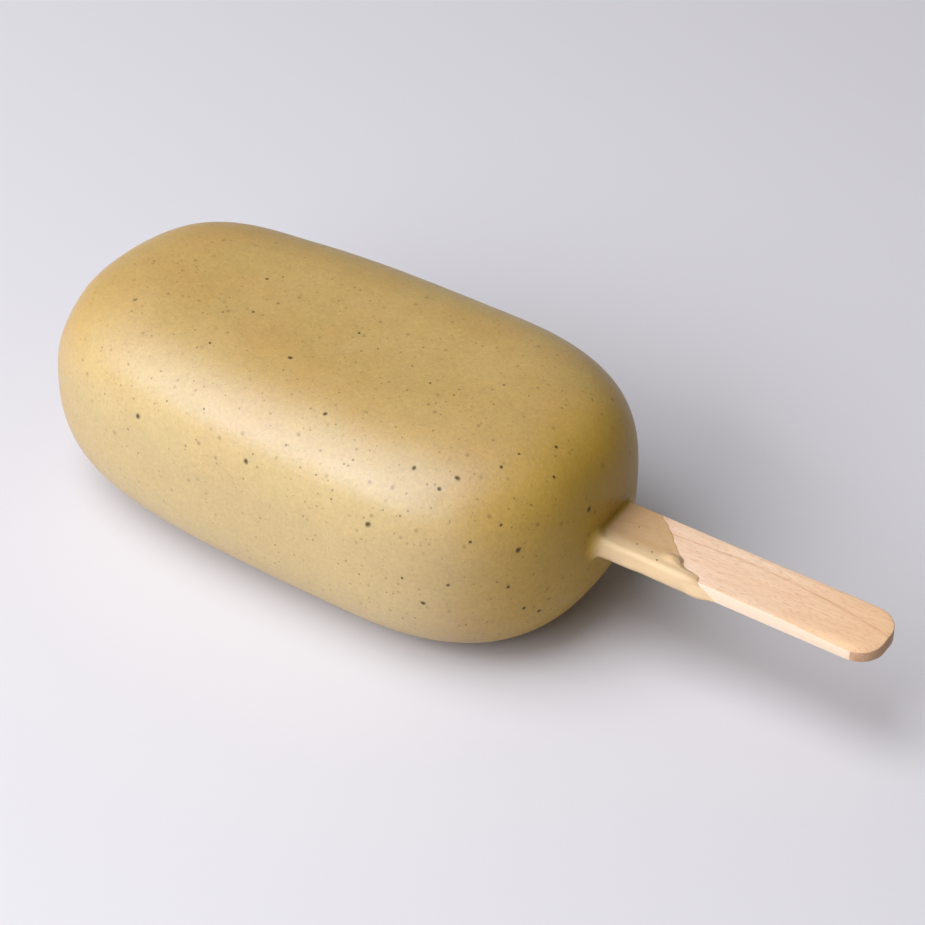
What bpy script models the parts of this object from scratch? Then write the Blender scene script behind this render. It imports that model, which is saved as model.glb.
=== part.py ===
"""Ice lolly lying on its flat underside: a coated bar on a flat wooden stick. Metres, +Z up.

The origin is under the middle of the whole lolly, on the surface it lies on. +X runs
along the stick towards its free tip, and +Y across the bar.
"""
import math

import bmesh
import bpy
from mathutils import Vector

# Driving dimensions of the bar
BAR_LENGTH = 0.0928
BAR_WIDTH = 0.0517
BAR_THICKNESS = 0.0358

# The plan is widest nearer the stick, and each end has its own squareness
STICK_END_REACH = 0.0309
FAR_END_REACH = BAR_LENGTH - STICK_END_REACH
STICK_END_POWER = 2.5
FAR_END_POWER = 3.4

# How far the rounded rim leans in above and below the middle, and how square it is
TOP_RIM = 0.0213
TOP_POWER = 3.0
UNDERSIDE_RIM = 0.0173
UNDERSIDE_POWER = 2.7

# The wooden stick, a common length of which half is inside the bar
STICK_LENGTH = 0.0930
STICK_WIDTH = 0.0100
STICK_THICKNESS = 0.0023
STICK_CORNER = 0.0041
STICK_SHOWS = 0.0448
STICK_OFF_CENTRE = 0.0023
STICK_ABOVE_MIDDLE = 0.0003
STICK_EDGE_ROUNDING = 0.00015

# Coating that ran down the stick, and the drip that set on it
GAP = 0.0003
FILM = 0.00035
FILM_MIDDLE_REACH = 0.0128
FILM_SLANT_ACROSS = 1.17
FILM_SLANT_DOWN = 1.17
FILM_ROOT_DEPTH = 0.003
MENISCUS_RADIUS = 0.0013
MENISCUS_SINK = 0.00015
DRIP_RADII = (0.0015, 0.0012, 0.0009)
DRIP_REACH = 0.0115
DRIP_ACROSS = -0.0030
DRIP_SINK = 0.0004

# Places that follow from the sizes above
BAR_CENTRE = Vector((-STICK_SHOWS / 2, 0.0, 0.0))
BAR_STICK_END = BAR_CENTRE.x + BAR_LENGTH / 2
WIDEST_STATION = BAR_LENGTH / 2 - STICK_END_REACH
STICK_TIP = BAR_STICK_END + STICK_SHOWS
STICK_CENTRE = Vector((
    STICK_TIP - STICK_LENGTH / 2,
    STICK_OFF_CENTRE,
    BAR_THICKNESS / 2 + STICK_ABOVE_MIDDLE,
))

# Facets
BAR_SEGMENTS = 72
BAR_RINGS = 42
RIM_SHARE = 18 / 21
STICK_CORNER_STEPS = 8
FILM_CORNER_STEPS = 4
FILM_FACE_STEPS = 4
MENISCUS_STEPS = 5
DRIP_SEGMENTS = 16
DRIP_RINGS = 10
CRISP_EDGE = math.radians(40)
WELD_DISTANCE = 0.00001


def superellipse(angle, power):
    """Point on a rounded square of half-size 1, in the direction of angle."""
    across, up = math.cos(angle), math.sin(angle)
    reach = (abs(across) ** power + abs(up) ** power) ** (-1 / power)
    return across * reach, up * reach


def plan_point(longitude, inset, shrink):
    """Point of the bar's outline seen from above, drawn in by inset and scaled by shrink."""
    towards_stick = math.cos(longitude) > 0
    reach = STICK_END_REACH if towards_stick else FAR_END_REACH
    power = STICK_END_POWER if towards_stick else FAR_END_POWER
    along, across = superellipse(longitude, power)
    return (
        WIDEST_STATION + (reach - inset) * shrink * along,
        (BAR_WIDTH / 2 - inset) * shrink * across,
    )


def rim_profile(climb):
    """Inset and height where climb runs from -1, the underside's edge, to 1, the top's."""
    rim, power = (TOP_RIM, TOP_POWER) if climb > 0 else (UNDERSIDE_RIM, UNDERSIDE_POWER)
    out, up = superellipse(climb * math.pi / 2, power)
    return rim * (1 - out), BAR_THICKNESS / 2 * (1 + up)


def bar_point(direction):
    """Place on the bar's skin for a point of a unit ball: rim first, then the flat faces."""
    longitude = math.atan2(direction.y, direction.x)
    share = math.asin(max(-1.0, min(1.0, direction.z))) / (math.pi / 2)
    climb = max(-1.0, min(1.0, share / RIM_SHARE))
    shrink = min(1.0, (1 - abs(share)) / (1 - RIM_SHARE))
    inset, height = rim_profile(climb)
    along, across = plan_point(longitude, inset, shrink)
    return Vector((along, across, height))


def object_from_bmesh(name, shape, collection):
    """Close a bmesh into a named object with faces pointing out."""
    bmesh.ops.recalc_face_normals(shape, faces=shape.faces)
    mesh = bpy.data.meshes.new(name)
    shape.to_mesh(mesh)
    shape.free()
    thing = bpy.data.objects.new(name, mesh)
    collection.objects.link(thing)
    return thing


def make_bar(collection):
    """The bar itself: a ball of points led onto the rim and the two flat faces."""
    shape = bmesh.new()
    bmesh.ops.create_uvsphere(shape, u_segments=BAR_SEGMENTS, v_segments=BAR_RINGS, radius=1.0)
    for vertex in shape.verts:
        vertex.co = bar_point(vertex.co.normalized())
    bar = object_from_bmesh("coated_bar", shape, collection)
    bar.location = BAR_CENTRE
    return bar


def bar_end_at(across, height):
    """How far along the bar's skin lies at its stick end, for a place across and a height."""
    climb = height / (BAR_THICKNESS / 2) - 1
    rim, power = (TOP_RIM, TOP_POWER) if climb > 0 else (UNDERSIDE_RIM, UNDERSIDE_POWER)
    inset = rim * (1 - (1 - abs(climb) ** power) ** (1 / power))
    aside = abs(across) / (BAR_WIDTH / 2 - inset)
    bulge = (1 - aside ** STICK_END_POWER) ** (1 / STICK_END_POWER)
    return BAR_CENTRE.x + WIDEST_STATION + (STICK_END_REACH - inset) * bulge


def stick_section_rays():
    """Places round the stick's section, each with the direction out of it there."""
    half_width, half_thickness = STICK_WIDTH / 2, STICK_THICKNESS / 2
    rays = []
    for quarter, (side, level) in enumerate(((1, 1), (-1, 1), (-1, -1), (1, -1))):
        corner = Vector((0.0, side * half_width, level * half_thickness))
        for step in range(FILM_CORNER_STEPS + 1):
            angle = math.pi / 2 * (quarter + step / FILM_CORNER_STEPS)
            rays.append((corner, Vector((0.0, math.cos(angle), math.sin(angle)))))
        if quarter % 2 == 0:
            for step in range(1, FILM_FACE_STEPS):
                place = corner + Vector((0.0, -side * STICK_WIDTH * step / FILM_FACE_STEPS, 0.0))
                rays.append((place, Vector((0.0, 0.0, level))))
    return rays


def film_point(ring, place, outward):
    """Point of the film: a root in the bar, a fillet round its mouth, then the slanting front."""
    if ring > MENISCUS_STEPS + 1:
        point = place + outward * (GAP + FILM)
        point.x = BAR_STICK_END + FILM_MIDDLE_REACH
        point.x -= FILM_SLANT_ACROSS * place.y + FILM_SLANT_DOWN * place.z
        return point
    angle = math.pi / 2 * max(0, ring - 1) / MENISCUS_STEPS
    clear = MENISCUS_RADIUS * (1 - math.cos(angle)) - MENISCUS_SINK
    if ring == 0:
        clear = -FILM_ROOT_DEPTH
    point = place + outward * (GAP + FILM + MENISCUS_RADIUS * (1 - math.sin(angle)))
    point.x = clear + bar_end_at(STICK_CENTRE.y + point.y, STICK_CENTRE.z + point.z)
    return point


def make_film(collection):
    """Coating that ran down the stick, a tube led from ring to ring."""
    rays = stick_section_rays()
    shape = bmesh.new()
    bmesh.ops.create_cone(
        shape, cap_ends=True, segments=len(rays), radius1=1.0, radius2=1.0, depth=1.0
    )
    long_edges = [edge for edge in shape.edges if edge.verts[0].co.z != edge.verts[1].co.z]
    cuts = MENISCUS_STEPS + 1
    bmesh.ops.subdivide_edges(shape, edges=long_edges, cuts=cuts)
    for vertex in shape.verts:
        turn = math.atan2(vertex.co.y, vertex.co.x) / (2 * math.pi) * len(rays)
        place, outward = rays[round(turn) % len(rays)]
        ring = round((vertex.co.z + 0.5) * (cuts + 1))
        vertex.co = film_point(ring, place, outward)
    film = object_from_bmesh("film", shape, collection)
    film.location = (0.0, STICK_CENTRE.y, STICK_CENTRE.z)
    return film


def make_drip(collection):
    """The set drip, a flattened bead half sunk in the film on top of the stick."""
    shape = bmesh.new()
    bmesh.ops.create_uvsphere(shape, u_segments=DRIP_SEGMENTS, v_segments=DRIP_RINGS, radius=1.0)
    for vertex in shape.verts:
        vertex.co = Vector(radius * share for radius, share in zip(DRIP_RADII, vertex.co))
    drip = object_from_bmesh("drip", shape, collection)
    film_top = STICK_CENTRE.z + STICK_THICKNESS / 2 + GAP + FILM
    drip.location = (
        BAR_STICK_END + DRIP_REACH,
        STICK_CENTRE.y + DRIP_ACROSS,
        film_top - DRIP_SINK,
    )
    return drip


def stick_outline(grow):
    """Stick seen from above, widened by grow all round, with its four corners as arcs."""
    radius = STICK_CORNER + grow
    corner_along = STICK_LENGTH / 2 + grow - radius
    corner_across = STICK_WIDTH / 2 + grow - radius
    points = []
    for quarter, (end, side) in enumerate(((1, 1), (-1, 1), (-1, -1), (1, -1))):
        for step in range(STICK_CORNER_STEPS + 1):
            angle = math.pi / 2 * (quarter + step / STICK_CORNER_STEPS)
            points.append((
                end * corner_along + radius * math.cos(angle),
                side * corner_across + radius * math.sin(angle),
            ))
    return points


def make_slab(name, outline, thickness, collection):
    """A flat filled outline with half its thickness on each side."""
    curve = bpy.data.curves.new(name, "CURVE")
    curve.dimensions = "2D"
    curve.fill_mode = "BOTH"
    curve.extrude = thickness / 2
    spline = curve.splines.new("POLY")
    spline.points.add(len(outline) - 1)
    for point, (along, across) in zip(spline.points, outline):
        point.co = (along, across, 0.0, 1.0)
    spline.use_cyclic_u = True
    slab = bpy.data.objects.new(name, curve)
    slab.location = STICK_CENTRE
    collection.objects.link(slab)
    return slab


def make_stick(collection):
    """The wooden stick with its edges slightly eased."""
    stick = make_slab("stick", stick_outline(0.0), STICK_THICKNESS, collection)
    weld = stick.modifiers.new("Weld", "WELD")
    weld.merge_threshold = WELD_DISTANCE
    easing = stick.modifiers.new("Bevel", "BEVEL")
    easing.width = STICK_EDGE_ROUNDING
    easing.segments = 2
    easing.limit_method = "ANGLE"
    easing.angle_limit = CRISP_EDGE
    return stick


def make_pocket_cutter(collection):
    """Room for the stick in the bar and its film, as a mesh that can cut."""
    slab = make_slab("pocket_outline", stick_outline(GAP), STICK_THICKNESS + 2 * GAP, collection)
    evaluated = slab.evaluated_get(bpy.context.evaluated_depsgraph_get())
    mesh = bpy.data.meshes.new_from_object(evaluated)
    shape = bmesh.new()
    shape.from_mesh(mesh)
    bmesh.ops.remove_doubles(shape, verts=shape.verts, dist=WELD_DISTANCE)
    bpy.data.meshes.remove(mesh)
    cutter = object_from_bmesh("pocket", shape, collection)
    cutter.matrix_world = slab.matrix_world
    bpy.data.objects.remove(slab)
    return cutter


def add_boolean(thing, operation, other):
    """Join or cut a thing by another object."""
    step = thing.modifiers.new(operation.title(), "BOOLEAN")
    step.operation = operation
    step.object = other
    step.solver = "EXACT"


def make_material(name, colour, roughness):
    """Plain surface; colour is given as 0 to 255 screen values."""
    material = bpy.data.materials.new(name)
    material.use_nodes = True
    surface = material.node_tree.nodes["Principled BSDF"]
    linear = [(value / 255) ** 2.2 for value in colour]
    surface.inputs["Base Color"].default_value = (*linear, 1.0)
    surface.inputs["Roughness"].default_value = roughness
    surface.inputs["Metallic"].default_value = 0.0
    return material


def shade_round(thing):
    """Smooth shading with the crisp edges kept."""
    thing.data.shade_smooth()
    thing.data.set_sharp_from_angle(angle=CRISP_EDGE)


def main():
    for thing in list(bpy.data.objects):
        bpy.data.objects.remove(thing, do_unlink=True)
    parts = bpy.data.collections.new("ice_lolly")
    helpers = bpy.data.collections.new("cutters_and_fused_pieces")
    for collection in (parts, helpers):
        bpy.context.scene.collection.children.link(collection)

    holder = bpy.data.objects.new("ice_lolly", None)
    parts.objects.link(holder)

    bar = make_bar(parts)
    film = make_film(helpers)
    drip = make_drip(helpers)
    pocket = make_pocket_cutter(helpers)
    add_boolean(bar, "UNION", film)
    add_boolean(bar, "UNION", drip)
    add_boolean(bar, "DIFFERENCE", pocket)
    shade_round(bar)
    bar.data.materials.append(make_material("coating", (216, 186, 126), 0.42))

    stick = make_stick(parts)
    stick.data.materials.append(make_material("wood", (230, 198, 162), 0.65))

    for helper in (film, drip, pocket):
        helper.hide_render = True
        helper.display_type = "WIRE"
    for thing in (bar, stick, film, drip, pocket):
        thing.parent = holder


main()
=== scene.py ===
# Ice lolly on its flat side: the coated bar, its specks, the wooden stick and the coating that ran down it.
import math
import random

import bpy
from mathutils import Euler, Matrix, Vector, noise
from mathutils.bvhtree import BVHTree


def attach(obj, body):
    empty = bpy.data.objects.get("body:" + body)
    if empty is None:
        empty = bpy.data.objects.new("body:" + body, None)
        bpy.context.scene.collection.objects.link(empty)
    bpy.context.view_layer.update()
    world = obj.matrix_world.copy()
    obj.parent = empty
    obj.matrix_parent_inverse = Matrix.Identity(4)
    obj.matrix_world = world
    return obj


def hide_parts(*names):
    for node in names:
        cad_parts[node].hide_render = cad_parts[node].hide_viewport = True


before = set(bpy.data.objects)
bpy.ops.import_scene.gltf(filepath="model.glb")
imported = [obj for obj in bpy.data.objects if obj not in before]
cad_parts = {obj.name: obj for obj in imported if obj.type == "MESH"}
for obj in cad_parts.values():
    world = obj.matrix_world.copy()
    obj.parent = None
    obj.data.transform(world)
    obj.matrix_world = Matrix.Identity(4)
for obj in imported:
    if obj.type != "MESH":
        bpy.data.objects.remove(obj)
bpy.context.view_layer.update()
print("frame loaded:", sorted(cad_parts))

mm = 0.001

# Camera at the photograph's angle

view = {
    "target": (-0.0057239, 0.0073716, 0.013),
    "distance": 0.446287,
    "azimuth": 33.3486,
    "elevation": 39.2736,
    "roll": 0.6456,
    "focalPixels": 2932.35,     # focal length in pixels of the picture
    "pictureSide": 925,
    "sensor": 36.0,
}


def directionTo(azimuth, elevation):
    a, e = math.radians(azimuth), math.radians(elevation)
    return Vector((math.sin(a) * math.cos(e), -math.cos(a) * math.cos(e), math.sin(e)))


back = directionTo(view["azimuth"], view["elevation"])
bpy.ops.object.select_all(action="DESELECT")
bpy.ops.object.camera_add(location=Vector(view["target"]) + back * view["distance"])
camera = bpy.context.object
camera.name = "camera"
turn = back.to_track_quat("Z", "Y") @ Euler((0, 0, math.radians(view["roll"]))).to_quaternion()
camera.rotation_euler = turn.to_euler()
camera.data.sensor_width = view["sensor"]
camera.data.lens = view["focalPixels"] / view["pictureSide"] * view["sensor"]
camera.data.clip_start = 0.01
camera.data.clip_end = 20
bpy.context.scene.camera = camera
bpy.context.view_layer.update()


def sightLine(across, down):    # where the camera looks for a place in the picture, in its pixels
    middle = view["pictureSide"] / 2
    ray = Vector(((across - middle) / view["focalPixels"], (middle - down) / view["focalPixels"], -1))
    return camera.location.copy(), (turn @ ray).normalized()


# Modelling helpers

def startPiece(name):           # names the primitive just added and leaves only it selected
    piece = bpy.context.object
    piece.name = name
    piece.data.name = name
    return piece


def settlePiece(piece):         # puts its place in its mesh, so that the object sits at the origin
    bpy.ops.object.select_all(action="DESELECT")
    piece.select_set(True)
    bpy.context.view_layer.objects.active = piece
    bpy.ops.object.transform_apply(location=True, rotation=True, scale=True)


def editAll(piece):
    bpy.ops.object.select_all(action="DESELECT")
    piece.select_set(True)
    bpy.context.view_layer.objects.active = piece
    bpy.ops.object.mode_set(mode="EDIT")
    bpy.ops.mesh.select_all(action="SELECT")


def finishFaces(piece, angle=None):
    editAll(piece)
    bpy.ops.mesh.normals_make_consistent(inside=False)
    bpy.ops.object.mode_set(mode="OBJECT")
    if angle is None:
        bpy.ops.object.shade_smooth()
    else:
        bpy.ops.object.shade_smooth_by_angle(angle=math.radians(angle))


def between(places, at):        # straight runs between (position, value) pairs in rising order
    if at <= places[0][0]:
        return places[0][1]
    for (low, first), (high, second) in zip(places, places[1:]):
        if at <= high:
            return first + (second - first) * (at - low) / (high - low)
    return places[-1][1]


def ease(share):                # 0 to 1 with a soft start and end
    share = max(0.0, min(1.0, share))
    return share * share * (3 - 2 * share)


# Bar

bar = {
    "length": 0.0928,
    "width": 0.0517,
    "thickness": 0.0358,
    "stickEndReach": 0.0309,    # from the widest place to the end at the stick
    "stickEndPower": 2.5,       # squareness of each end's plan
    "farEndPower": 3.4,
    "topRim": 0.0213,           # how far the rounded rim leans in
    "topPower": 3.0,
    "undersideRim": 0.0173,
    "undersidePower": 2.7,
    "rimShare": 18 / 21,        # share of the rings that go to the rim, the rest to the flat faces
    "segments": 384,
    "rings": 192,
    "swell": 0.00005,           # slow unevenness of the dipped skin
    "swellSize": 0.017,
    "restHeight": 0.0015,       # below this the underside stays flat
    # soft strokes in mm that round the ends as in the picture: place, lift and radius
    "strokes": [
        ((-64.5, -16.8, 17.5), 0.26, 7.0),
        ((-66.0, -11.4, 27.8), -0.48, 5.0),
        ((-65.2, -1.5, 31.4), 0.20, 5.0),
        ((-63.3, 8.9, 32.3), -0.28, 5.0),
        ((-53.5, 17.6, 32.0), 0.28, 7.5),
        ((-44.0, 19.6, 32.3), -0.10, 6.0),
        ((16.8, -13.0, 4.5), -0.18, 7.0),
    ],
}
stickShows = 0.0448
barCentre = -stickShows / 2
barStickEnd = barCentre + bar["length"] / 2
widestStation = bar["length"] / 2 - bar["stickEndReach"]


def superellipse(angle, power):
    across, up = math.cos(angle), math.sin(angle)
    reach = (abs(across) ** power + abs(up) ** power) ** (-1 / power)
    return across * reach, up * reach


def planPoint(longitude, inset, shrink):
    towardsStick = math.cos(longitude) > 0
    reach = bar["stickEndReach"] if towardsStick else bar["length"] - bar["stickEndReach"]
    power = bar["stickEndPower"] if towardsStick else bar["farEndPower"]
    along, across = superellipse(longitude, power)
    return widestStation + (reach - inset) * shrink * along, (bar["width"] / 2 - inset) * shrink * across


def barPoint(direction):
    longitude = math.atan2(direction.y, direction.x)
    share = math.asin(max(-1.0, min(1.0, direction.z))) / (math.pi / 2)
    climb = max(-1.0, min(1.0, share / bar["rimShare"]))
    shrink = min(1.0, (1 - abs(share)) / (1 - bar["rimShare"]))
    upper = climb > 0
    out, up = superellipse(climb * math.pi / 2, bar["topPower"] if upper else bar["undersidePower"])
    inset = (bar["topRim"] if upper else bar["undersideRim"]) * (1 - out)
    along, across = planPoint(longitude, inset, shrink)
    return Vector((barCentre + along, across, bar["thickness"] / 2 * (1 + up)))


def barEndAt(across, height):   # how far along the skin lies at the stick's end of the bar
    climb = height / (bar["thickness"] / 2) - 1
    upper = climb > 0
    rim = bar["topRim"] if upper else bar["undersideRim"]
    power = bar["topPower"] if upper else bar["undersidePower"]
    inset = rim * (1 - (1 - abs(climb) ** power) ** (1 / power))
    aside = min(1.0, abs(across) / (bar["width"] / 2 - inset))
    bulge = (1 - aside ** bar["stickEndPower"]) ** (1 / bar["stickEndPower"])
    return barCentre + widestStation + (bar["stickEndReach"] - inset) * bulge


bpy.ops.object.select_all(action="DESELECT")
bpy.ops.mesh.primitive_uv_sphere_add(segments=bar["segments"], ring_count=bar["rings"], radius=1.0)
coatedBar = startPiece("coatedBar")
for vertex in coatedBar.data.vertices:
    vertex.co = barPoint(vertex.co.normalized())
finishFaces(coatedBar)
normals = [vertex.normal.copy() for vertex in coatedBar.data.vertices]
nearMouth = Vector((barStickEnd, 0.0023, 0.0182))
for vertex, normal in zip(coatedBar.data.vertices, normals):
    place = vertex.co.copy()
    clear = ease((place.z - bar["restHeight"]) / 0.006) * ease(((place - nearMouth).length - 0.007) / 0.01)
    lift = noise.noise(place / bar["swellSize"] + Vector((3.1, 7.7, 1.9)))
    lift += 0.4 * noise.noise(place / (bar["swellSize"] * 0.4) + Vector((11.3, 2.2, 5.1)))
    lift *= bar["swell"]
    for centre, height, radius in bar["strokes"]:
        away = (place / mm - Vector(centre)).length / radius
        lift += height * mm * math.exp(-away * away)
    vertex.co = place + normal * (lift * clear)
print("bar modelled:", len(coatedBar.data.polygons), "faces")

# Stick

stick = {
    "length": 0.0930,
    "width": 0.0100,
    "thickness": 0.0023,
    "corner": 0.0041,
    "cornerSteps": 18,
    "offCentre": 0.0023,
    "aboveMiddle": 0.0003,
    "worn": 0.00016,            # rounding of its long edges
    "insets": (0.0007, 0.0008), # rings on its broad faces, for the worn corner at its tip
    "wornReach": 0.0015,
    "wornDrop": 0.00055,
    "wornLength": 0.008,
    "cuts": 40,                 # loops along it, for the slight unevenness
    "uneven": 0.00003,
}
stickTip = barStickEnd + stickShows
stickCentre = Vector((
    stickTip - stick["length"] / 2,
    stick["offCentre"],
    bar["thickness"] / 2 + stick["aboveMiddle"],
))

bpy.ops.object.select_all(action="DESELECT")
bpy.ops.mesh.primitive_cube_add(size=1, location=stickCentre)
woodenStick = startPiece("woodenStick")
editAll(woodenStick)
bpy.ops.transform.resize(value=(stick["length"], stick["width"], stick["thickness"]))
bpy.ops.mesh.select_mode(type="EDGE")
bpy.ops.mesh.select_all(action="DESELECT")
bpy.ops.object.mode_set(mode="OBJECT")
points = woodenStick.data.vertices
for edge in woodenStick.data.edges:     # the four upright corners
    first, second = (points[index].co for index in edge.vertices)
    edge.select = abs(first.z - second.z) > stick["thickness"] / 2
bpy.ops.object.mode_set(mode="EDIT")
bpy.ops.mesh.bevel(offset=stick["corner"], segments=stick["cornerSteps"], affect="EDGES")
bpy.ops.mesh.select_all(action="DESELECT")
bpy.ops.object.mode_set(mode="OBJECT")
points = woodenStick.data.vertices
for edge in woodenStick.data.edges:     # the outlines of its two broad faces
    first, second = (points[index].co for index in edge.vertices)
    edge.select = abs(first.z - second.z) < 0.1 * mm
bpy.ops.object.mode_set(mode="EDIT")
bpy.ops.mesh.bevel(offset=stick["worn"], segments=3, affect="EDGES")
bpy.ops.mesh.select_mode(type="FACE")
bpy.ops.mesh.select_all(action="DESELECT")
bpy.ops.object.mode_set(mode="OBJECT")
for face in woodenStick.data.polygons:  # its two broad faces
    face.select = abs(face.normal.z) > 0.99 and face.area > stick["length"] * stick["width"] / 2
bpy.ops.object.mode_set(mode="EDIT")
for thickness in stick["insets"]:
    bpy.ops.mesh.inset(thickness=thickness, depth=0)
for cut in range(1, stick["cuts"]):
    bpy.ops.mesh.select_all(action="SELECT")
    station = stickTip - stick["length"] * cut / stick["cuts"]
    bpy.ops.mesh.bisect(plane_co=(station, 0, 0), plane_no=(1, 0, 0))
bpy.ops.object.mode_set(mode="OBJECT")
settlePiece(woodenStick)
for vertex in woodenStick.data.vertices:
    toTip = stickTip - vertex.co.x
    toEdge = stick["width"] / 2 - abs(vertex.co.y - stickCentre.y)
    if toTip < stick["corner"] and toEdge < stick["corner"]:
        toEdge = stick["corner"] - math.hypot(stick["corner"] - toTip, stick["corner"] - toEdge)
    if vertex.co.z > stickCentre.z and vertex.co.y < stickCentre.y:
        nearCorner = math.exp(-((toTip - stick["corner"] * 0.8) / stick["wornLength"]) ** 2)
        nearCorner *= max(0.0, min(1.0, 1 - toEdge / stick["wornReach"])) ** 2
        nearCorner *= ease((stickCentre.y - vertex.co.y) / (stick["width"] * 0.36))
        upper = (vertex.co.z - stickCentre.z) / (stick["thickness"] / 2)
        vertex.co.z -= stick["wornDrop"] * nearCorner * upper
    wobble = noise.noise(Vector((vertex.co.x / 0.009, vertex.co.y / 0.004, vertex.co.z / 0.002 + 4.0)))
    vertex.co.y += stick["uneven"] * wobble
    vertex.co.z += stick["uneven"] * 0.5 * noise.noise(Vector((vertex.co.x / 0.02, vertex.co.y / 0.006, 9.0)))
finishFaces(woodenStick, 35)
print("stick modelled:", len(woodenStick.data.polygons), "faces")

# Film of coating on the stick

film = {
    "root": 0.0016,             # how deep it starts inside the bar
    "filletSink": 0.00001,
    "filletSteps": 14,
    "runSteps": 26,
    "foldSteps": 6,
    "aroundSteps": 240,
    "innerSteps": 6,
    "underWood": 0.00025,       # its inner side lies this far inside the wood
    "cornerRadius": 0.00035,
    "foldLength": 0.0004,       # the front rounds down to the wood over this length
    # position round the section in mm from the far top edge, each with the front's reach in mm from the bar
    "front": [
        (0.0, 5.7), (0.6, 6.0), (1.5, 7.1), (2.4, 8.2), (3.3, 9.0), (4.1, 9.7), (5.2, 10.8), (6.2, 11.9),
        (6.9, 13.0), (7.4, 13.3), (8.2, 13.7), (8.5, 15.1), (8.9, 16.8), (10.0, 17.2), (10.6, 17.5),
        (12.2, 20.0), (12.9, 18.8), (16.0, 13.5), (19.5, 9.4), (22.3, 7.4), (24.6, 5.7),
    ],
    "thickness": [
        (0.0, 0.11), (1.0, 0.09), (4.0, 0.09), (6.0, 0.13), (7.3, 0.22), (8.4, 0.31), (9.2, 0.39), (9.8, 0.45),
        (10.4, 0.52), (10.9, 0.60), (11.4, 0.68), (11.9, 0.72), (12.5, 0.62), (13.2, 0.42), (14.2, 0.26), (20.0, 0.16),
        (22.4, 0.16), (24.6, 0.11),
    ],
    # the same along it, as a share of the thickness of its thick parts
    "run": [(0.0, 1.15), (3.0, 1.0), (6.0, 0.78), (9.0, 0.74), (11.0, 0.9), (14.0, 1.0)],
    "taper": 3.0,               # over this last run in mm its thickness falls towards the front
    "frontShare": 0.24,
    "soakedFront": 1.6,
    # the same position, with the radius in mm of the fillet that meets the bar
    "fillet": [
        (0.0, 0.7), (3.0, 0.9), (6.0, 0.7), (7.8, 0.8), (9.3, 1.7), (10.8, 2.1), (12.3, 1.6), (15.0, 1.2), (20.0, 0.9),
        (22.3, 0.7), (24.6, 0.7),
    ],
    "dripReach": 11.9,          # the set drip, in mm: along, across and its half sizes and height
    "dripAcross": -2.8,
    "dripHalfSizes": (2.0, 1.35),
    "dripHeight": 0.58,
    "dripThin": 0.58,           # how far its colour is that of the soaked wood
}


def sectionPlace(distance):     # place on the stick's section and the way out of it, in mm, from the far top edge
    halfWidth, halfThickness = stick["width"] / mm / 2, stick["thickness"] / mm / 2
    radius = film["cornerRadius"] / mm
    sides = [
        ((halfWidth, halfThickness), (-1, 0), 2 * halfWidth, (0, 1)),
        ((-halfWidth, halfThickness), (0, -1), 2 * halfThickness, (-1, 0)),
        ((-halfWidth, -halfThickness), (1, 0), 2 * halfWidth, (0, -1)),
        ((halfWidth, -halfThickness), (0, 1), 2 * halfThickness, (1, 0)),
    ]
    total = sum(side[2] for side in sides)
    distance %= total
    for index, (start, along, length, out) in enumerate(sides):
        if distance <= length:
            break
        distance -= length
    along, out, start = Vector(along), Vector(out), Vector(start)
    place = start + along * distance
    turnAhead = Vector(sides[(index + 1) % 4][3])
    turnBehind = Vector(sides[index - 1][3])
    if distance < radius:
        share = 0.5 - 0.5 * distance / radius
        corner = start + along * radius - out * radius
        angle = share * math.pi / 2
        way = out * math.cos(angle) + turnBehind * math.sin(angle)
        return corner + way * radius, way
    if distance > length - radius:
        share = 0.5 - 0.5 * (length - distance) / radius
        corner = start + along * (length - radius) - out * radius
        angle = share * math.pi / 2
        way = out * math.cos(angle) + turnAhead * math.sin(angle)
        return corner + way * radius, way
    return place, out


sectionLength = 2 * (stick["width"] + stick["thickness"]) / mm
profileSteps = 1 + film["filletSteps"] + film["runSteps"] + film["foldSteps"] + film["innerSteps"]


def filmSkin(distance, reach, front):   # how thick the film is there, in mm, without its fillet and fold
    thick = between(film["thickness"], distance)
    thick *= 1 + 0.22 * noise.noise(Vector((distance / 1.6, reach / 2.1, 3.3)))
    if thick > 0.2:
        thick = 0.2 + (thick - 0.2) * between(film["run"], reach)
    near = film["frontShare"] + (1 - film["frontShare"]) * ease((front - reach) / film["taper"])
    thick = max(min(thick, 0.06), thick * near)
    place, _ = sectionPlace(distance)
    along = (reach - film["dripReach"]) / film["dripHalfSizes"][0]
    across = (place.x - film["dripAcross"]) / film["dripHalfSizes"][1]
    away = along * along + across * across
    onTop = place.y > 0
    if onTop and away < 1:
        thick += film["dripHeight"] * (1 - away) ** 1.5
    return thick


def thinShare(distance, reach, front):  # 1 where the film only soaks the wood, 0 where it lies thick
    place, _ = sectionPlace(distance)
    along = (reach - film["dripReach"]) / film["dripHalfSizes"][0]
    across = (place.x - film["dripAcross"]) / film["dripHalfSizes"][1]
    onTop = place.y > 0
    inDrip = ease(1.6 - along * along - across * across) if onTop else 0.0
    thin = 1 - ease((between(film["thickness"], distance) - 0.19) / 0.2)
    if onTop:                   # it soaks in at its front
        thin = max(thin, 0.9 * ease(1 - (front - reach) / film["soakedFront"]) * ease((10.6 - distance) / 0.6))
    return max(thin * (1 - inDrip), film["dripThin"] * inDrip)


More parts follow.
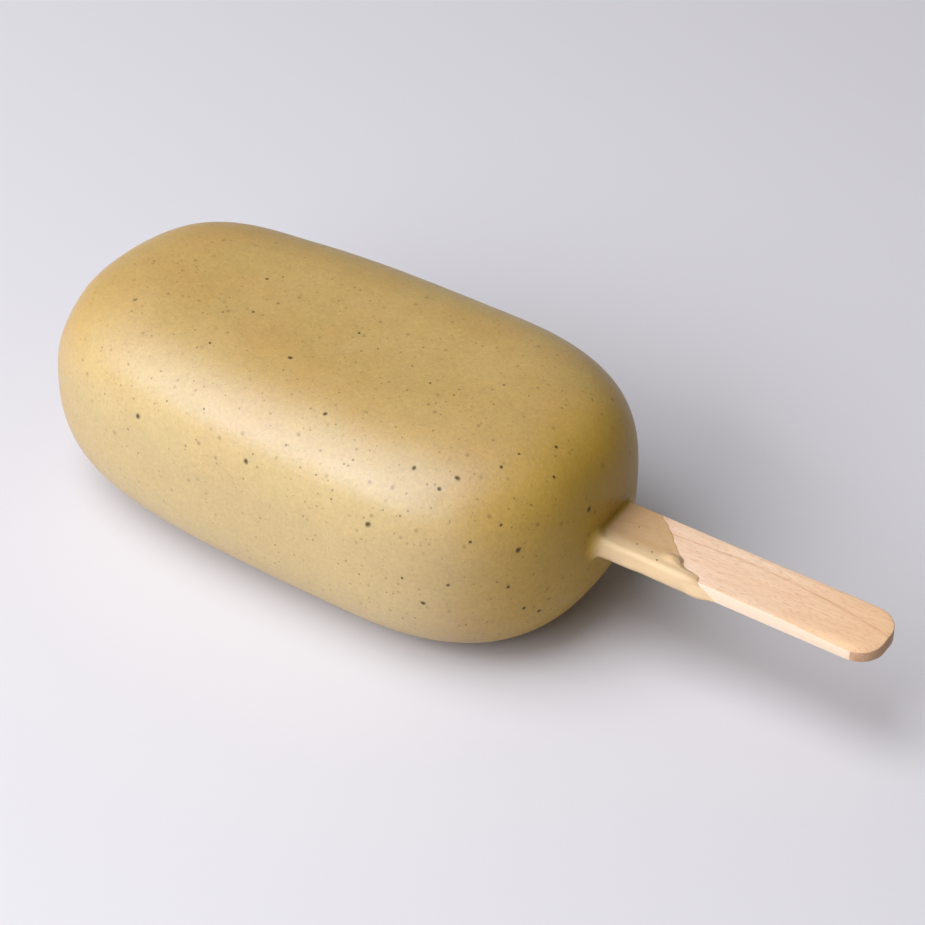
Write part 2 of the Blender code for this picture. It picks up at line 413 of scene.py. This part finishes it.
def filmPoint(around, step):
    distance = sectionLength * around / film["aroundSteps"]
    place, out = sectionPlace(distance)
    ragged = 0.3 * noise.noise(Vector((distance / 0.9, 0.0, 8.8))) + 0.05 * noise.noise(Vector((distance / 0.3, 5.0, 0.0)))
    frontReach = between(film["front"], distance) + ragged
    front = barStickEnd + frontReach * mm

    def skinPoint(thickness, extra):
        point = place + out * (thickness / mm)
        height = stickCentre.z + point.y * mm
        return point, barEndAt(stickCentre.y + point.x * mm, height) + extra

    rootSkin = filmSkin(distance, 1.5, frontReach) * mm
    filletRadius = between(film["fillet"], distance) * mm
    if step == 0:
        point, along = skinPoint(rootSkin + filletRadius, -film["root"])
        return Vector((along, stickCentre.y + point.x * mm, stickCentre.z + point.y * mm)), 0.0
    if step <= film["filletSteps"]:
        angle = math.pi / 2 * (step - 1) / (film["filletSteps"] - 1)
        spread = filletRadius * (1 - math.sin(angle))
        rise = filletRadius * (1 - math.cos(angle)) - film["filletSink"]
        point, along = skinPoint(rootSkin + spread, rise)
        thin = thinShare(distance, 1.0, frontReach) * ease((angle / (math.pi / 2) - 0.45) / 0.55)
        return Vector((along, stickCentre.y + point.x * mm, stickCentre.z + point.y * mm)), thin
    start = skinPoint(rootSkin, filletRadius - film["filletSink"])[1]
    step -= film["filletSteps"]
    if step <= film["runSteps"]:
        along = start + (front - film["foldLength"] - start) * step / film["runSteps"]
        reach = (along - barStickEnd) / mm
        settle = ease((along - start) / 0.0012)
        thickness = rootSkin * (1 - settle) + filmSkin(distance, reach, frontReach) * mm * settle
        thin = thinShare(distance, reach, frontReach)
        point = place + out * (thickness / mm)
        return Vector((along, stickCentre.y + point.x * mm, stickCentre.z + point.y * mm)), thin
    step -= film["runSteps"]
    edgeSkin = filmSkin(distance, frontReach, frontReach) * mm
    if step <= film["foldSteps"]:
        angle = math.pi / 2 * step / film["foldSteps"]
        along = front - film["foldLength"] * (1 - math.sin(angle))
        thickness = edgeSkin * math.cos(angle) - film["underWood"] * 0.3 * (step / film["foldSteps"]) ** 4
        thin = thinShare(distance, frontReach, frontReach)
        point = place + out * (thickness / mm)
        return Vector((along, stickCentre.y + point.x * mm, stickCentre.z + point.y * mm)), thin
    step -= film["foldSteps"]
    share = step / (film["innerSteps"] + 0)
    inside = barStickEnd - film["root"] - 0.0006
    along = front + (inside - front) * share
    point = place - out * (film["underWood"] / mm)
    return Vector((along, stickCentre.y + point.x * mm, stickCentre.z + point.y * mm)), 0.0


bpy.ops.object.select_all(action="DESELECT")
bpy.ops.mesh.primitive_torus_add(
    major_segments=film["aroundSteps"], minor_segments=profileSteps, major_radius=1.0, minor_radius=0.25
)
stickFilm = startPiece("stickFilm")
thinness = stickFilm.data.attributes.new("thinness", "FLOAT", "POINT")
for index, vertex in enumerate(stickFilm.data.vertices):
    vertex.co, thinness.data[index].value = filmPoint(index // profileSteps, index % profileSteps)
finishFaces(stickFilm)
print("film modelled:", len(stickFilm.data.polygons), "faces")

# Specks in the coating

specks = {
    # the bold ones that the picture shows: across and down in its pixels, and size in mm
    "bold": [
        (290, 358, 0.62), (325, 414, 0.56), (138, 416, 0.74), (246, 461, 0.70), (368, 524, 0.78), (414, 468, 0.56),
        (457, 478, 0.62), (439, 489, 0.52), (518, 550, 0.74), (501, 525, 0.42), (470, 542, 0.42), (448, 585, 0.46),
        (508, 587, 0.50), (402, 578, 0.40), (423, 603, 0.66), (524, 608, 0.56), (539, 611, 0.60), (589, 509, 0.78),
        (556, 447, 0.50), (501, 467, 0.48), (554, 477, 0.44), (519, 454, 0.38), (504, 385, 0.36), (430, 383, 0.38),
        (210, 343, 0.40), (267, 279, 0.46), (253, 312, 0.44), (359, 333, 0.44),
    ],
    "small": [
        (283, 277, 0.34), (154, 261, 0.34), (223, 312, 0.34), (135, 300, 0.50), (128, 429, 0.32), (253, 454, 0.30),
        (286, 445, 0.34), (204, 409, 0.32), (195, 330, 0.28), (138, 453, 0.30), (167, 401, 0.28), (196, 440, 0.28),
        (197, 347, 0.28), (378, 349, 0.30), (412, 366, 0.28), (454, 395, 0.32), (407, 390, 0.30), (389, 382, 0.30),
        (370, 301, 0.28), (408, 282, 0.28), (518, 366, 0.26), (529, 396, 0.26), (562, 408, 0.28), (531, 505, 0.28),
        (592, 399, 0.28), (497, 582, 0.30), (466, 625, 0.34), (475, 640, 0.32), (487, 622, 0.28), (400, 516, 0.32),
        (316, 475, 0.32), (331, 499, 0.34), (303, 516, 0.34), (313, 540, 0.30), (275, 545, 0.32), (346, 561, 0.34),
        (359, 574, 0.34), (353, 460, 0.30), (344, 464, 0.28), (323, 590, 0.30), (415, 618, 0.28), (383, 510, 0.26),
    ],
    "filmBold": [(657, 560, 0.30), (637, 544, 0.26), (652, 552, 0.28), (639, 527, 0.24)],
    "hiddenBold": 34,           # more of both on the sides that the picture doesn't show
    "hiddenSmall": 70,
    "spread": 1.6,              # width with the soft edge, against the size seen
    "halfThickness": 0.055,     # mm, of a speck of average size
    "sink": 0.022,
    "segments": 14,
    "rings": 6,
    "seed": 41,
}
draw = random.Random(specks["seed"])


def searchTree(piece):
    mesh = piece.data
    return BVHTree.FromPolygons([v.co for v in mesh.vertices], [tuple(p.vertices) for p in mesh.polygons])


barTree, filmTree = searchTree(coatedBar), searchTree(stickFilm)
bpy.ops.object.select_all(action="DESELECT")
bpy.ops.mesh.primitive_uv_sphere_add(segments=specks["segments"], ring_count=specks["rings"], radius=0.5 * mm)
oneSpeck = startPiece("oneSpeck")
editAll(oneSpeck)
bpy.ops.transform.resize(value=(1, 1, specks["halfThickness"] * 2))
bpy.ops.object.mode_set(mode="OBJECT")
darkness = oneSpeck.data.attributes.new("darkness", "FLOAT", "POINT")
for index, vertex in enumerate(oneSpeck.data.vertices):
    out = math.hypot(vertex.co.x, vertex.co.y) / (0.5 * mm)
    darkness.data[index].value = 1 - ease((out - 0.25) / 0.72)
speckCopies = []


def placeSpeck(place, normal, size, strength):
    copied = oneSpeck.copy()
    copied.data = oneSpeck.data.copy()
    bpy.context.collection.objects.link(copied)
    for index, vertex in enumerate(copied.data.vertices):
        ragged = noise.noise(vertex.co / (0.35 * mm) + place / mm)
        vertex.co.x *= 1 + 0.25 * ragged
        vertex.co.y *= 1 + 0.25 * ragged
        copied.data.attributes["darkness"].data[index].value *= strength
    stretch = draw.uniform(0.88, 1.14)
    lying = normal.to_track_quat("Z", "Y").to_matrix().to_4x4()
    spin = Matrix.Rotation(draw.uniform(0, math.tau), 4, "Z")
    grow = Matrix.Diagonal((size * stretch, size / stretch, max(0.6, size), 1))
    copied.matrix_world = Matrix.Translation(place - normal * specks["sink"] * mm) @ lying @ spin @ grow
    speckCopies.append(copied)


for group, strength in (("bold", 1.0), ("small", 0.75)):
    for across, down, size in specks[group]:
        place, normal, _, _ = barTree.ray_cast(*sightLine(across, down))
        if place:
            placeSpeck(place, normal, size * specks["spread"], strength)
for across, down, size in specks["filmBold"]:
    place, normal, _, _ = filmTree.ray_cast(*sightLine(across, down))
    if place:
        placeSpeck(place, normal, size * specks["spread"], 0.9)
areas, total = [], 0.0
for face in coatedBar.data.polygons:
    total += face.area
    areas.append(total)
for group, strength, count in (("bold", 1.0, specks["hiddenBold"]), ("small", 0.62, specks["hiddenSmall"])):
    placed = 0
    while placed < count:
        pick = draw.uniform(0, total)
        low, high = 0, len(areas) - 1
        while low < high:
            middle = (low + high) // 2
            low, high = (middle + 1, high) if areas[middle] < pick else (low, middle)
        face = coatedBar.data.polygons[low]
        seen = face.normal.dot(camera.location - face.center) > 0
        inStick = (face.center - nearMouth).length < 0.008
        if seen or inStick or face.center.z < 0.4 * mm:
            continue
        size = draw.choice(specks[group])[2]
        placeSpeck(face.center.copy(), face.normal.copy(), size * specks["spread"], strength)
        placed += 1
bpy.data.objects.remove(oneSpeck, do_unlink=True)
bpy.context.view_layer.update()
bpy.ops.object.select_all(action="DESELECT")
for copied in speckCopies:
    copied.select_set(True)
bpy.context.view_layer.objects.active = speckCopies[0]
bpy.ops.object.join()
coatingSpecks = bpy.context.object
coatingSpecks.name = coatingSpecks.data.name = "coatingSpecks"
settlePiece(coatingSpecks)
finishFaces(coatingSpecks)
print("specks placed:", len(speckCopies))

# Materials


def screenColour(red, green, blue):     # 0 to 255 screen values as linear light
    linear = [value / 255 / 12.92 if value < 11 else ((value / 255 + 0.055) / 1.055) ** 2.4
              for value in (red, green, blue)]
    return (*linear, 1.0)


class Bench:                    # adds and joins a material's nodes
    def __init__(self, name):
        self.material = bpy.data.materials.new(name)
        self.material.use_nodes = True
        self.tree = self.material.node_tree
        self.surface = self.tree.nodes["Principled BSDF"]
        self.place = self.node("TexCoord").outputs["Object"]

    def node(self, kind, **settings):
        made = self.tree.nodes.new("ShaderNode" + kind)
        for setting, value in settings.items():
            setattr(made, setting, value)
        return made

    def join(self, source, socket):
        if isinstance(source, (int, float, tuple)):
            socket.default_value = source
        else:
            self.tree.links.new(source, socket)

    def math(self, operation, first, second=0.0, third=0.0, clamp=False):
        made = self.node("Math", operation=operation, use_clamp=clamp)
        for socket, source in zip(made.inputs, (first, second, third)):
            self.join(source, socket)
        return made.outputs[0]

    def blend(self, share, first, second, blendType="MIX"):
        made = self.node("Mix", data_type="RGBA", blend_type=blendType)
        self.join(share, made.inputs["Factor"])
        self.join(first, made.inputs[6])
        self.join(second, made.inputs[7])
        return made.outputs[2]

    def mapped(self, location=(0, 0, 0), rotation=(0, 0, 0), scale=(1, 1, 1)):
        made = self.node("Mapping")
        self.join(self.place, made.inputs["Vector"])
        made.inputs["Location"].default_value = location
        made.inputs["Rotation"].default_value = rotation
        made.inputs["Scale"].default_value = scale
        return made.outputs[0]

    def cloud(self, size, detail=3.0, rough=0.5, where=None, low=0.3, high=0.7):
        made = self.node("TexNoise")
        self.join(where or self.place, made.inputs["Vector"])
        made.inputs["Scale"].default_value = 1 / size
        made.inputs["Detail"].default_value = detail
        made.inputs["Roughness"].default_value = rough
        spread = self.node("MapRange")
        self.join(made.outputs["Fac"], spread.inputs["Value"])
        spread.inputs["From Min"].default_value = low
        spread.inputs["From Max"].default_value = high
        return spread.outputs[0]

    def dots(self, cell, biggest, share, soft, where=None):
        # round flecks of many sizes, cut from balls in cells: biggest radius and soft edge in metres
        made = self.node("TexVoronoi", feature="F1")
        self.join(where or self.place, made.inputs["Vector"])
        made.inputs["Scale"].default_value = 1 / cell
        made.inputs["Randomness"].default_value = 1.0
        parts = self.node("SeparateColor")
        self.join(made.outputs["Color"], parts.inputs[0])
        radius = self.node("MapRange")
        self.join(parts.outputs[0], radius.inputs["Value"])
        radius.inputs["From Min"].default_value = 1 - share
        radius.inputs["From Max"].default_value = 1.0
        radius.inputs["To Min"].default_value = 0.0
        radius.inputs["To Max"].default_value = biggest / cell
        over = self.math("SUBTRACT", radius.outputs[0], made.outputs["Distance"])
        return self.math("MULTIPLY", over, cell / soft, clamp=True)

    def bump(self, height, depth, strength=1.0, under=None):
        made = self.node("Bump")
        made.inputs["Strength"].default_value = strength
        made.inputs["Distance"].default_value = depth
        self.join(height, made.inputs["Height"])
        if under:
            self.join(under, made.inputs["Normal"])
        return made.outputs[0]


coating = {
    "base": (187, 157, 97),
    "deep": (185, 151, 89),
    "green": (181, 155, 90),
    "side": (203, 181, 127),    # painted sheen: paler long sides, standing in for the lights' hazy reflection there
    "stickEnd": (186, 152, 70),  # painted shade: deeper, duller colour on the end that faces away from the lights; it is also less frosted there
    "stickEndFrom": -0.014,     # along the bar from its end
    "stickEndTo": -0.002,
    "mouthShade": (178, 142, 24),   # painted shade: deeper, more olive colour around the stick, where the bar and the film shade and reflect onto each other
    "speck": (64, 47, 20),
    "faintSpeck": (112, 87, 38),
    "mottle": [(0.0032, 3.0, 0.962, 1.03), (0.0006, 4.0, 0.90, 1.06)],  # size, detail, darkest and lightest
    "roughness": 0.40,
    "specular": 0.82,
    "specularTint": (0.50, 0.62, 1.0, 1.0),
    "frost": 0.20,              # hazy veil over it, with its roughness and how strongly it reflects
    "frostRoughness": 0.62,
    "frostIndex": 1.5,
    "subsurface": 0.22,
    "subsurfaceRadius": (1.0, 0.62, 0.28),
    "subsurfaceScale": 0.0016,
    "grainSize": 0.00017,
    "grainDepth": 0.000024,
}


def atStickEnd(bench):          # 1 on the bar's end at the stick
    parts = bench.node("SeparateXYZ")
    bench.join(bench.place, parts.inputs[0])
    share = bench.node("MapRange", interpolation_type="SMOOTHSTEP")
    bench.join(parts.outputs[0], share.inputs["Value"])
    share.inputs["From Min"].default_value = barStickEnd + coating["stickEndFrom"]
    share.inputs["From Max"].default_value = barStickEnd + coating["stickEndTo"]
    return share.outputs[0]


def coatingColour(bench):
    slow = bench.cloud(0.014, detail=2.0, low=0.35, high=0.65)
    other = bench.cloud(0.009, detail=2.0, where=bench.mapped(location=(0.3, 0.1, 0.7)), low=0.4, high=0.7)
    colour = bench.blend(slow, screenColour(*coating["base"]), screenColour(*coating["deep"]))
    colour = bench.blend(bench.math("MULTIPLY", other, 0.5), colour, screenColour(*coating["green"]))
    # painted sheen: the long sides, away from the stick's end, are made paler in place of the lights' hazy reflection
    parts = bench.node("SeparateXYZ")
    bench.join(bench.place, parts.inputs[0])
    sideways = bench.node("MapRange", interpolation_type="SMOOTHSTEP")
    bench.join(bench.math("ABSOLUTE", parts.outputs[1]), sideways.inputs["Value"])
    sideways.inputs["From Min"].default_value = 0.012
    sideways.inputs["From Max"].default_value = 0.025
    alongBar = bench.node("MapRange", interpolation_type="SMOOTHSTEP")
    bench.join(parts.outputs[0], alongBar.inputs["Value"])
    alongBar.inputs["From Min"].default_value = barStickEnd - 0.006
    alongBar.inputs["From Max"].default_value = barStickEnd - 0.022
    sheenPaintedSide = bench.math("MULTIPLY", sideways.outputs[0], alongBar.outputs[0])
    colour = bench.blend(bench.math("MULTIPLY", sheenPaintedSide, 0.56), colour, screenColour(*coating["side"]))
    # painted shade: the bar's end at the stick, turned away from the lights, takes a deeper, duller colour
    colour = bench.blend(atStickEnd(bench), colour, screenColour(*coating["stickEnd"]))
    for size, detail, darkest, lightest in coating["mottle"]:
        grey = bench.node("MapRange")
        bench.join(bench.cloud(size, detail=detail, rough=0.6), grey.inputs["Value"])
        grey.inputs["To Min"].default_value = darkest
        grey.inputs["To Max"].default_value = lightest
        colour = bench.blend(1.0, colour, grey.outputs[0], "MULTIPLY")
    # painted shade: the colour deepens towards the stick's mouth, in the hollow between bar and film
    mouth = bench.node("VectorMath", operation="DISTANCE")
    bench.join(bench.place, mouth.inputs[0])
    mouth.inputs[1].default_value = nearMouth + Vector((0, 0, 0.004))
    mouthShade = bench.node("MapRange", interpolation_type="SMOOTHSTEP")
    bench.join(mouth.outputs["Value"], mouthShade.inputs["Value"])
    mouthShade.inputs["From Min"].default_value = 0.018
    mouthShade.inputs["From Max"].default_value = 0.003
    colour = bench.blend(bench.math("MULTIPLY", mouthShade.outputs[0], 0.6), colour, screenColour(*coating["mouthShade"]))
    for cell, biggest, share, soft, strength in (
        (0.0017, 0.00050, 0.64, 0.00032, 0.46),
        (0.0010, 0.00027, 0.68, 0.00015, 0.62),
        (0.0006, 0.00016, 0.78, 0.00010, 0.52),
    ):
        shift = bench.mapped(location=(cell * 37, cell * 91, cell * 17))
        spots = bench.dots(cell, biggest, share, soft, where=shift)
        colour = bench.blend(bench.math("MULTIPLY", spots, strength), colour, screenColour(*coating["faintSpeck"]))
    return colour


def finishCoating(bench, colour, gloss=1.0, bare=None):     # bare: how far a speck stands clear of the frosted skin
    surface = bench.surface
    bench.join(colour, surface.inputs["Base Color"])
    rough = bench.node("MapRange")
    bench.join(bench.cloud(0.003, detail=3.0), rough.inputs["Value"])
    rough.inputs["To Min"].default_value = coating["roughness"] - 0.03
    rough.inputs["To Max"].default_value = coating["roughness"] + 0.04
    bench.join(rough.outputs[0], surface.inputs["Roughness"])
    dull = bench.math("MULTIPLY", atStickEnd(bench), 0.65)
    if bare:
        dull = bench.math("MAXIMUM", dull, bench.math("MULTIPLY", bare, 0.85))
    for strength, socket in ((coating["specular"], "Specular IOR Level"), (coating["frost"], "Coat Weight")):
        strength *= gloss
        bench.join(bench.math("MULTIPLY_ADD", dull, -strength, strength), surface.inputs[socket])
    surface.inputs["Specular Tint"].default_value = coating["specularTint"]
    surface.inputs["Coat Roughness"].default_value = coating["frostRoughness"]
    surface.inputs["Coat IOR"].default_value = coating["frostIndex"]
    surface.inputs["Subsurface Weight"].default_value = coating["subsurface"] if gloss == 1.0 else 0.0
    surface.inputs["Subsurface Radius"].default_value = coating["subsurfaceRadius"]
    surface.inputs["Subsurface Scale"].default_value = coating["subsurfaceScale"]
    fine = bench.bump(bench.cloud(coating["grainSize"], detail=2.0), coating["grainDepth"], 0.6)
    slow = bench.bump(bench.cloud(0.0022, detail=2.0), 0.00002, 0.3, under=fine)
    bench.join(slow, surface.inputs["Normal"])


def attributeValue(bench, name):
    return bench.node("Attribute", attribute_name=name).outputs["Fac"]


barBench = Bench("coating")
finishCoating(barBench, coatingColour(barBench))

speckBench = Bench("speck")
dark = attributeValue(speckBench, "darkness")
speckColour = speckBench.blend(dark, coatingColour(speckBench), screenColour(*coating["speck"]))
finishCoating(speckBench, speckColour, bare=dark)

wood = {
    "base": (236, 210, 189),
    "pink": (232, 199, 174),
    "gold": (224, 181, 138),
    "edge": (238, 220, 200),    # its long sides are paler
    "grainLine": (186, 130, 84),
    "fleck": (196, 150, 114),
    "cutEnd": (190, 146, 116),
    "roughness": 0.62,
    "lineAcross": 0.00285,      # the one long grain line bends: furthest from the stick's middle
    "linePeak": 0.022,          # at this distance from the bar
    "lineBend": 5.2,            # and nearer by this times the distance from there squared
    "lineHalfWidth": 0.00015,
    "lineWander": 0.0008,
}


def woodColour(bench):
    slow = bench.cloud(1.0, detail=2.0, where=bench.mapped(scale=(60, 420, 420)), low=0.35, high=0.65)
    colour = bench.blend(slow, screenColour(*wood["base"]), screenColour(*wood["pink"]))
    parts = bench.node("SeparateXYZ")
    bench.join(bench.place, parts.inputs[0])
    along, across = parts.outputs[0], parts.outputs[1]
    # golden towards the tip and the far side
    toTip = bench.node("MapRange", interpolation_type="SMOOTHSTEP")
    bench.join(along, toTip.inputs["Value"])
    toTip.inputs["From Min"].default_value = barStickEnd + 0.012
    toTip.inputs["From Max"].default_value = stickTip
    toFar = bench.node("MapRange", interpolation_type="SMOOTHSTEP")
    bench.join(across, toFar.inputs["Value"])
    toFar.inputs["From Min"].default_value = stickCentre.y + 0.001
    toFar.inputs["From Max"].default_value = stickCentre.y + 0.005
    golden = bench.math("MAXIMUM", bench.math("MULTIPLY", toTip.outputs[0], 0.75),
                        bench.math("MULTIPLY", toFar.outputs[0], 0.22), clamp=True)
    colour = bench.blend(golden, colour, screenColour(*wood["gold"]))
    streaks = bench.cloud(1.0, detail=4.0, rough=0.65, where=bench.mapped(scale=(150, 2900, 2900)), low=0.35, high=0.75)
    colour = bench.blend(bench.math("MULTIPLY", streaks, 0.35), colour, screenColour(*wood["fleck"]))
    dashes = bench.cloud(1.0, detail=1.0, where=bench.mapped(scale=(900, 5600, 5600)), low=0.56, high=0.70)
    colour = bench.blend(bench.math("MULTIPLY", dashes, 0.50), colour, screenColour(*wood["fleck"]))
    # the long grain line bends, and wanders a little
    wander = bench.cloud(1.0, detail=2.0, where=bench.mapped(scale=(260, 0, 0)), low=0.0, high=1.0)
    furthest = stickCentre.y + wood["lineAcross"] - wood["lineWander"] / 2
    line = bench.math("MULTIPLY_ADD", wander, wood["lineWander"], furthest)
    fromPeak = bench.math("SUBTRACT", along, barStickEnd + wood["linePeak"])
    line = bench.math("SUBTRACT", line, bench.math("MULTIPLY", bench.math("MULTIPLY", fromPeak, fromPeak),
                                                   wood["lineBend"]))
    away = bench.math("ABSOLUTE", bench.math("SUBTRACT", across, line))
    share = bench.math("SUBTRACT", 1.0, bench.math("DIVIDE", away, wood["lineHalfWidth"] * 2), clamp=True)
    broken = bench.cloud(1.0, detail=3.0, where=bench.mapped(scale=(420, 2400, 900)), low=0.24, high=0.6)
    colour = bench.blend(bench.math("MULTIPLY", bench.math("MULTIPLY", share, broken), 0.56),
                         colour, screenColour(*wood["grainLine"]))
    return colour


def finishWood(bench, colour):
    bench.join(colour, bench.surface.inputs["Base Color"])
    bench.surface.inputs["Roughness"].default_value = wood["roughness"]
    bench.surface.inputs["Specular IOR Level"].default_value = 0.35
    fibres = bench.cloud(1.0, detail=4.0, rough=0.6, where=bench.mapped(scale=(150, 4200, 4200)))
    bench.join(bench.bump(fibres, 0.00003, 0.5), bench.surface.inputs["Normal"])


woodBench = Bench("wood")
finishWood(woodBench, woodColour(woodBench))
edgeBench = Bench("woodSide")
finishWood(edgeBench, edgeBench.blend(0.7, woodColour(edgeBench), screenColour(*wood["edge"])))
endBench = Bench("woodCutEnd")
pores = endBench.cloud(0.0004, detail=3.0)
endColour = endBench.blend(pores, screenColour(*wood["cutEnd"]), screenColour(208, 168, 136))
finishWood(endBench, endColour)

filmBench = Bench("stickFilm")
thin = attributeValue(filmBench, "thinness")
soaked = filmBench.blend(0.75, woodColour(filmBench), screenColour(183, 147, 98))
parts = filmBench.node("SeparateXYZ")
filmBench.join(filmBench.place, parts.inputs[0])
clearOfBar = filmBench.node("MapRange", interpolation_type="SMOOTHSTEP")
filmBench.join(parts.outputs[0], clearOfBar.inputs["Value"])
clearOfBar.inputs["From Min"].default_value = barStickEnd - 0.0004
clearOfBar.inputs["From Max"].default_value = barStickEnd + 0.0019
creamy = filmBench.math("MULTIPLY", clearOfBar.outputs[0], 0.88)
thick = filmBench.blend(creamy, coatingColour(filmBench), screenColour(220, 193, 158))
finishCoating(filmBench, filmBench.blend(thin, thick, soaked), gloss=0.5)

for piece, benches in (
    (coatedBar, [barBench]), (coatingSpecks, [speckBench]), (stickFilm, [filmBench]), (woodenStick, [woodBench, endBench, edgeBench]),
):
    piece.data.materials.clear()
    for bench in benches:
        piece.data.materials.append(bench.material)
for face in woodenStick.data.polygons:  # the two rounded ends are cut across the grain
    atEnd = abs(face.center.x - stickCentre.x) > stick["length"] / 2 - stick["corner"] * 0.8
    upright = abs(face.normal.z) < 0.6
    face.material_index = (1 if atEnd else 2) if upright else 0
print("materials made")

# Floor and lights

studio = {
    "floor": (207, 206, 214),
    # soft lights: azimuth, elevation, distance, width, height and power
    "lights": {
        "keyLight": (-23, 32, 0.75, 0.95, 0.36, 5.15),
        "upperLight": (-41, 64, 1.0, 1.00, 1.00, 9.9),
    },
    "surroundings": (243, 237, 224),
    "surroundingsStrength": 0.14,
}
bpy.ops.object.select_all(action="DESELECT")
bpy.ops.mesh.primitive_plane_add(size=4, location=(0, 0, -0.05 * mm))
floor = startPiece("floor")
floorMaterial = bpy.data.materials.new("floor")
floorMaterial.use_nodes = True
floorSurface = floorMaterial.node_tree.nodes["Principled BSDF"]
floorSurface.inputs["Base Color"].default_value = screenColour(*studio["floor"])
floorSurface.inputs["Roughness"].default_value = 0.55
floor.data.materials.append(floorMaterial)

middle = Vector((barCentre, 0, bar["thickness"] / 2))
for name, (azimuth, elevation, distance, width, height, power) in studio["lights"].items():
    towards = directionTo(azimuth, elevation)
    bpy.ops.object.light_add(type="AREA", location=middle + towards * distance)
    light = bpy.context.object
    light.name = name
    light.data.shape = "ELLIPSE"
    light.data.size = width
    light.data.size_y = height
    light.data.energy = power
    light.rotation_euler = towards.to_track_quat("Z", "Y").to_euler()

world = bpy.data.worlds.new("surroundings")
bpy.context.scene.world = world
world.use_nodes = True
sky = world.node_tree.nodes["Background"]
sky.inputs["Color"].default_value = screenColour(*studio["surroundings"])
sky.inputs["Strength"].default_value = studio["surroundingsStrength"]
bpy.context.scene.view_settings.view_transform = "Standard"
print("floor and lights placed")

# What moves with what

for piece in (coatedBar, coatingSpecks, stickFilm):
    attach(piece, "root")
    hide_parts("coated_bar")
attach(woodenStick, "root")
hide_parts("stick")
